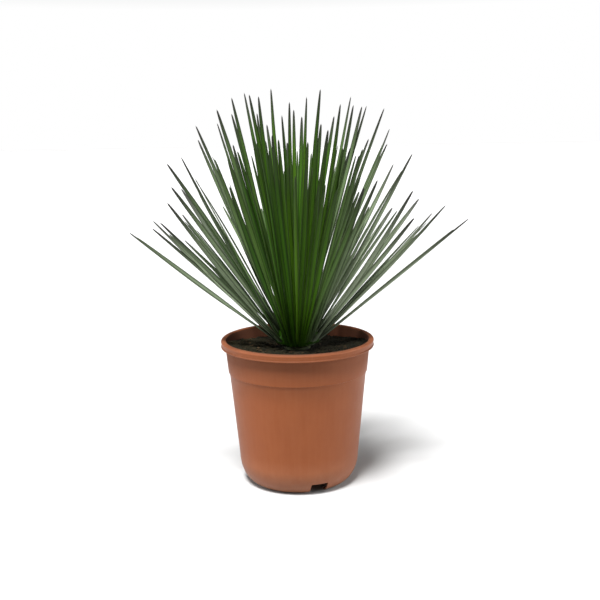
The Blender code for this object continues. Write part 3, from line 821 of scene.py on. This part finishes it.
side_turn = (6.0, 50.0)       # degrees that a leaf at the side is turned about its length
front_turn = (0.0, 52.0)
least_side_turn = 26.0
leaf_bow = (-0.004, 0.003)
width_change = (0.86, 1.16)
leaf_sway = (-0.0012, 0.0012)
leaf_curl = (-0.25, 0.25)     # radians
lit_side_reach = 0.08              # painted light: the right side's leaves are lighter and greyer, fully so as far out as this
lit_tone_lift = 0.4                 # how much lighter the painted light makes their tone there
lit_greying = 0.25                # how much greyer, as if older, the painted light makes them look
lit_start_in = 0.015                # how much nearer the middle that begins
aged_from = 0.060             # leaves that reach further to the side than this are greyer
aged_over = 0.09              # and are fully so when they reach this much further
least_age = 0.45
hidden_dryness = 0.35         # how dry the points are of leaves that don't stand out, as a share
draw = random.Random(leaf_seed + 1)
touch = random.Random(leaf_seed + 2)
leaves = []
for i, tip in enumerate(leaf_points):
    sideways = abs(math.sin(math.atan2(tip.x, tip.y)))
    turn = math.radians(draw.uniform(*side_turn) * sideways
                        + draw.uniform(*front_turn) * (1.0 - 0.7 * sideways))
    turn = max(turn, math.radians(least_side_turn) * sideways)
    leaf = copy_of(leaf_model)
    lay_leaf(leaf, root_in_bud(tip), tip, bow=draw.uniform(*leaf_bow),
             roll=turn if i % 2 else -turn, width=leaf_width * draw.uniform(*width_change),
             sway=touch.uniform(*leaf_sway), curl=touch.uniform(*leaf_curl))
    # Painted light: leaves on the right get a lighter tone and a greyer, older look
    lit_share = min(1.0, max(0.0, tip.x / lit_side_reach))
    mark_all(leaf, "leaf_tone_and_light", lit_tone_lift * lit_share + (1.0 - lit_tone_lift * lit_share) * touch.random())
    outward = min(1.0, max(0.0, (abs(tip.x) - aged_from + lit_start_in * lit_share) / aged_over))
    mark_all(leaf, "leaf_age_and_sheen", outward * touch.uniform(least_age + lit_greying * lit_share, 1.0))
    mark_all(leaf, "leaf_dryness", 1.0 if i < len(seen_leaves) else hidden_dryness)
    leaves.append(leaf)
bpy.data.objects.remove(leaf_model, do_unlink=True)

bud_bottom = stem_top + gap
bud_section = [(0.0, bud_middle + bud_rise)]
bud_section += arc_points((0.0, bud_middle), (bud_radius, bud_rise), 78, 0, 9)
bud_section += arc_points((0.0, bud_middle), (bud_radius, bud_middle - bud_bottom), -20, -60, 3)
bud_section += [(0.3 * bud_radius, bud_bottom), (0.0, bud_bottom)]
bud = turn_on_lathe("bud", bud_section, bud_facets)
bud_place = bud.data.uv_layers.new(name="leaf")
for corner in bud_place.data:
    corner.uv = (0.5, 0.04)   # shaded as a leaf is by its root
leaf_head = join_pieces("leaf_head", [bud] + leaves)
bpy.ops.object.shade_smooth_by_angle(angle=math.radians(62.0))

# Yucca leaf: a tough waxy skin over parallel fibres. Green in the middle of the head, greyer with
# wax and a painted sheen on the outer leaves, lighter and greyer on the right as painted light, and
# darker and duller towards its end as painted shade, with fine lengthwise lines, shaded sides, a
# muted olive margin a quarter of a millimetre wide, and a dry dark point.
line_scale = (26.0, 2.5, 1.0)          # lines a quarter of a millimetre apart and 12 cm long
margin_from = (0.465, 0.485)           # from the middle of the blade, as shares of its width
shade_from = (0.17, 0.43)
painted_shade_from = (0.58, 1.0)                # from the root, as shares of its length
root_shade = (0.02, 0.30)
fresh_dry_from = 0.82                  # where the dry point begins on a fresh leaf
old_dry_from = 0.70
dry_by = 0.99
skin, tree, shader = new_material("waxy yucca leaf", {"IOR": 1.45, "Specular IOR Level": 0.09})
place = add_node(tree, "UVMap", uv_map="leaf")
flat_place = add_node(tree, "SeparateXYZ", {"Vector": place.outputs["UV"]})
tone_and_light = add_node(tree, "Attribute", attribute_name="leaf_tone_and_light")
age_and_sheen = add_node(tree, "Attribute", attribute_name="leaf_age_and_sheen")
fresh = add_node(tree, "Mix", {
    "Factor": tone_and_light.outputs["Fac"], "A": linear("#264b03"), "B": linear("#3e600c")},
    data_type="RGBA")
# The outer leaves' grey: their own wax, and a painted sheen of the bright surroundings
wax_and_sheen = add_node(tree, "Mix", {
    "Factor": tone_and_light.outputs["Fac"], "A": linear("#4a5244"), "B": linear("#96a289")},
    data_type="RGBA")
aged_and_sheen = add_node(tree, "Mix", {
    "Factor": age_and_sheen.outputs["Fac"], "A": fresh.outputs["Result"], "B": wax_and_sheen.outputs["Result"]},
    data_type="RGBA")
# Painted shade: darker and duller towards the end of the leaf
upper = add_node(tree, "MapRange", {
    "Value": flat_place.outputs["Y"], "From Min": painted_shade_from[0], "From Max": painted_shade_from[1],
    "To Min": 0.0, "To Max": 0.75})
painted_shade_tone = add_node(tree, "Mix", {
    "Factor": age_and_sheen.outputs["Fac"], "A": linear("#2f4519"), "B": linear("#3f4835")},
    data_type="RGBA")
end_shaded = add_node(tree, "Mix", {
    "Factor": upper.outputs["Result"], "A": aged_and_sheen.outputs["Result"],
    "B": painted_shade_tone.outputs["Result"]}, data_type="RGBA")
lengthwise = add_node(tree, "Mapping", {"Vector": place.outputs["UV"], "Scale": line_scale})
shifted = add_node(tree, "CombineXYZ", {"Z": tone_and_light.outputs["Fac"]})
spread = add_node(tree, "VectorMath", {
    0: lengthwise.outputs["Vector"], 1: shifted.outputs["Vector"]}, operation="ADD")
lines = add_node(tree, "TexNoise", {
    "Vector": spread.outputs["Vector"], "Scale": 1.0, "Detail": 3.0})
line_share = add_node(tree, "MapRange", {
    "Value": lines.outputs["Fac"], "From Min": 0.3, "From Max": 0.7,
    "To Min": 0.52, "To Max": 1.20})
lined = add_node(tree, "VectorMath", {
    0: end_shaded.outputs["Result"], "Scale": line_share.outputs["Result"]}, operation="SCALE")
from_middle = add_node(tree, "Math", {0: flat_place.outputs["X"], 1: 0.5}, operation="SUBTRACT")
off_middle = add_node(tree, "Math", {0: from_middle.outputs["Value"]}, operation="ABSOLUTE")
shade_side = add_node(tree, "MapRange", {
    "Value": off_middle.outputs["Value"], "From Min": shade_from[0], "From Max": shade_from[1],
    "To Min": 1.0, "To Max": 0.38})
shaded = add_node(tree, "VectorMath", {
    0: lined.outputs["Vector"], "Scale": shade_side.outputs["Result"]}, operation="SCALE")
margin = add_node(tree, "MapRange", {
    "Value": off_middle.outputs["Value"], "From Min": margin_from[0], "From Max": margin_from[1]})
margin_age = add_node(tree, "MapRange", {
    "Value": age_and_sheen.outputs["Fac"], "To Min": 0.25, "To Max": 0.90})
margin_share = add_node(tree, "Math", {
    0: margin.outputs["Result"], 1: margin_age.outputs["Result"]}, operation="MULTIPLY")
edged = add_node(tree, "Mix", {
    "Factor": margin_share.outputs["Value"], "A": shaded.outputs["Vector"],
    "B": linear("#566038")}, data_type="RGBA")
deep = add_node(tree, "MapRange", {
    "Value": flat_place.outputs["Y"], "From Min": root_shade[0], "From Max": root_shade[1],
    "To Min": 0.50, "To Max": 1.0})
rooted = add_node(tree, "VectorMath", {
    0: edged.outputs["Result"], "Scale": deep.outputs["Result"]}, operation="SCALE")
dry_from = add_node(tree, "MapRange", {
    "Value": age_and_sheen.outputs["Fac"], "To Min": fresh_dry_from, "To Max": old_dry_from})
dry_end = add_node(tree, "MapRange", {
    "Value": flat_place.outputs["Y"], "From Min": dry_from.outputs["Result"], "From Max": dry_by})
dryness = add_node(tree, "Attribute", attribute_name="leaf_dryness")
dry_share = add_node(tree, "Math", {
    0: dry_end.outputs["Result"], 1: dryness.outputs["Fac"]}, operation="MULTIPLY")
tipped = add_node(tree, "Mix", {
    "Factor": dry_share.outputs["Value"], "A": rooted.outputs["Vector"],
    "B": linear("#2b2b28")}, data_type="RGBA")
tree.links.new(tipped.outputs["Result"], shader.inputs["Base Color"])
gloss = add_node(tree, "MapRange", {
    "Value": lines.outputs["Fac"], "To Min": 0.38, "To Max": 0.60})
tree.links.new(gloss.outputs["Result"], shader.inputs["Roughness"])
relief = add_node(tree, "Bump", {
    "Height": lines.outputs["Fac"], "Strength": 0.35, "Distance": 0.0004})
tree.links.new(relief.outputs["Normal"], shader.inputs["Normal"])
leaf_head.data.materials.clear()
leaf_head.data.materials.append(skin)
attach(leaf_head, "root")
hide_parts("leaves")
